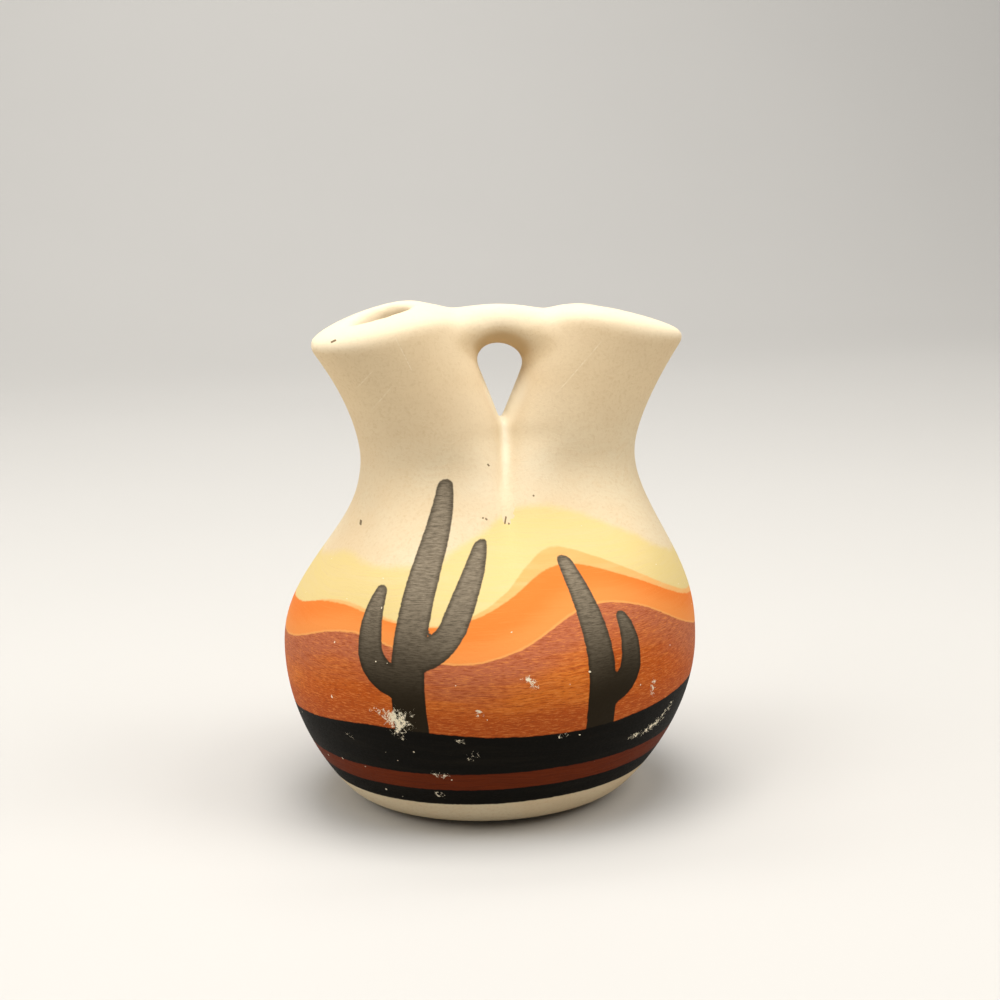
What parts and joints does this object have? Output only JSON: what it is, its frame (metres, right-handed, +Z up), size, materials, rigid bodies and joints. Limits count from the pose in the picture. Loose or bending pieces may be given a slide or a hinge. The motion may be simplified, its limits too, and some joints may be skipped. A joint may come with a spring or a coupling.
{
  "type": "wedding vase",
  "caption": "Round-bodied clay vase whose neck parts into leaning side-by-side spouts joined by a bridge handle; stands on a flat base and holds stems or water.",
  "frame": {"origin": "centre of the flat resting face, on the body's axis", "axes": "+Z up; the two spouts lie along X, the left one at -X; the painted front faces -Y"},
  "size_m": [0.1064, 0.1064, 0.1262],
  "materials": {
    "bare_clay": "bare fired clay, matte",
    "painted_clay": "fired clay with hand-brushed matte paint",
    "white_slip": "fired cream clay, smoothed by hand, matte"
  },
  "bodies": {
    "root": {"base_slab": "bare_clay", "body": "painted_clay", "left_spout": "white_slip", "right_spout": "white_slip", "bridge_handle": "white_slip"}
  },
  "joints": []
}
